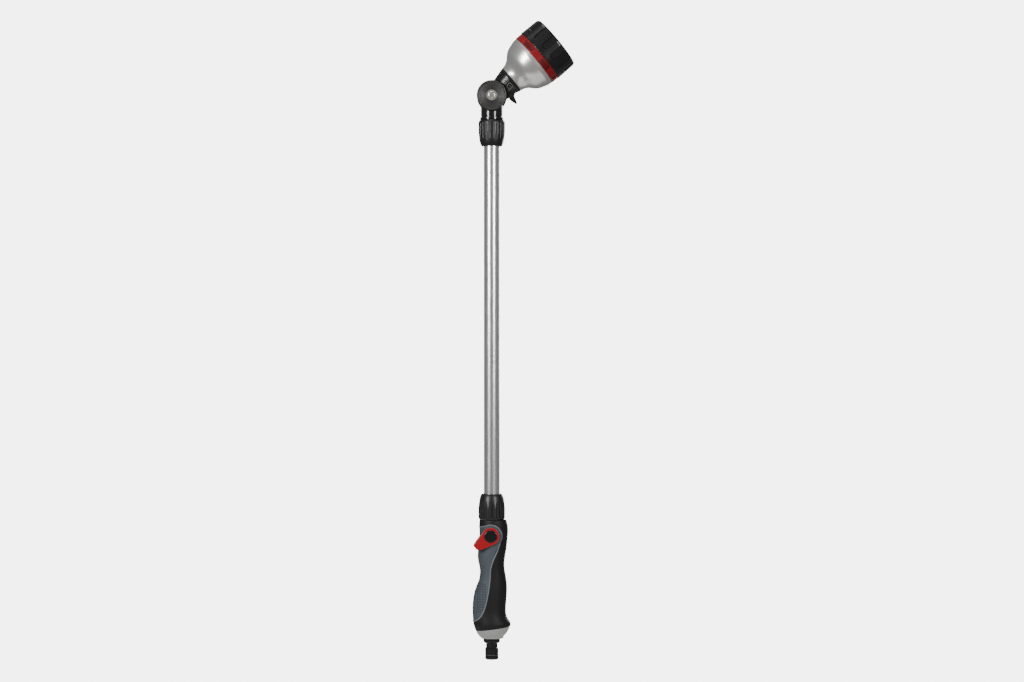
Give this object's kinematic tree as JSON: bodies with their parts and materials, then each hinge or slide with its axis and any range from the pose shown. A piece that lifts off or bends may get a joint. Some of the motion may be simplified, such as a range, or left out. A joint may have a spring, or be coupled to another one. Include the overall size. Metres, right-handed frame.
{
  "type": "watering wand",
  "caption": "Long garden watering wand: contoured valve handle with a red thumb lever, straight aluminium tube and a tilting bell-shaped head with a turning pattern dial.",
  "frame": {"origin": "centre of the hose spigot's tip face", "axes": "+Z along the tube from the hose end to the head, +X the side that the head leans to, +Y along the lever and tilt pivots (away from the viewer of the front)"},
  "size_m": [0.1218, 0.0698, 0.7662],
  "materials": {
    "black_plastic": "satin moulded, black",
    "grip_rubber": "soft touch, black",
    "grey_rubber": "soft touch, slate grey",
    "silver_paint": "satin silver",
    "grey_plastic": "satin silver-grey",
    "red_plastic": "red",
    "aluminium": "satin anodised",
    "white_plastic": "natural acetal",
    "seal_rubber": "seal",
    "steel": "stainless",
    "screw_plate": "bright nickel"
  },
  "bodies": {
    "wand": {"hose_spigot": "black_plastic", "spigot_o_ring": "seal_rubber", "inlet_filter": "steel", "inlet_washer": "seal_rubber", "handle_core": "black_plastic", "end_cap": "grey_plastic", "grip_inlay": "grey_rubber", "grip_shell": "grip_rubber", "tube": "aluminium", "lower_grip_ring": "white_plastic", "upper_grip_ring": "white_plastic", "lower_tube_seal": "seal_rubber", "upper_tube_seal": "seal_rubber", "elbow": "black_plastic", "pivot_o_ring": "seal_rubber", "pivot_cap_front": "black_plastic", "pivot_washer_front": "screw_plate", "pivot_washer_back": "steel", "pivot_screw": "screw_plate", "pivot_nut": "steel"},
    "lever": {"thumb_lever": "red_plastic", "valve_spindle": "white_plastic", "valve_o_ring_front": "seal_rubber", "valve_o_ring_back": "seal_rubber", "lever_screw_front": "steel", "lever_screw_back": "steel", "lever_cap_front": "black_plastic", "lever_cap_back": "black_plastic"},
    "lower_nut": {"lower_collar_nut": "black_plastic"},
    "upper_nut": {"upper_collar_nut": "black_plastic"},
    "head": {"head_neck": "black_plastic", "pivot_cap_back": "black_plastic", "lock_pin": "steel", "bell": "silver_paint", "bell_gasket": "seal_rubber", "bell_nut": "white_plastic", "distributor": "white_plastic", "outlet_seal": "seal_rubber", "detent_ball": "steel", "detent_spring": "steel"},
    "lock": {"lock_lever": "black_plastic", "lock_spring": "steel"},
    "dial": {"index_ring": "red_plastic", "dial": "black_plastic", "spray_face": "black_plastic", "pattern_plate": "white_plastic", "dial_screw": "screw_plate"}
  },
  "joints": [
    {"name": "valve_turn", "type": "hinge", "parent": "wand", "child": "lever", "pos_m": [-0.0011, 0, 0.1486], "axis": [0, 1, 0], "range_deg": [0, 60]},
    {"name": "lower_nut_turn", "type": "hinge", "parent": "wand", "child": "lower_nut", "pos_m": [0, 0, 0.18], "axis": [0, 0, 1], "range_deg": [0, 90]},
    {"name": "upper_nut_turn", "type": "hinge", "parent": "wand", "child": "upper_nut", "pos_m": [0, 0, 0.63], "axis": [0, 0, -1], "range_deg": [0, 90]},
    {"name": "head_tilt", "type": "hinge", "parent": "wand", "child": "head", "pos_m": [0, 0, 0.6759], "axis": [0, 1, 0], "range_deg": [-135, 24]},
    {"name": "lock_press", "type": "hinge", "parent": "head", "child": "lock", "pos_m": [0.02261, -0.0059, 0.6779], "axis": [0, -1, 0], "range_deg": [0, 10], "stiffness_Nm_per_rad": 0.05, "springref_deg": -11.46},
    {"name": "dial_turn", "type": "hinge", "parent": "head", "child": "dial", "pos_m": [0.06128, 0, 0.72732], "axis": [0.766, 0, 0.6428], "continuous": true}
  ]
}
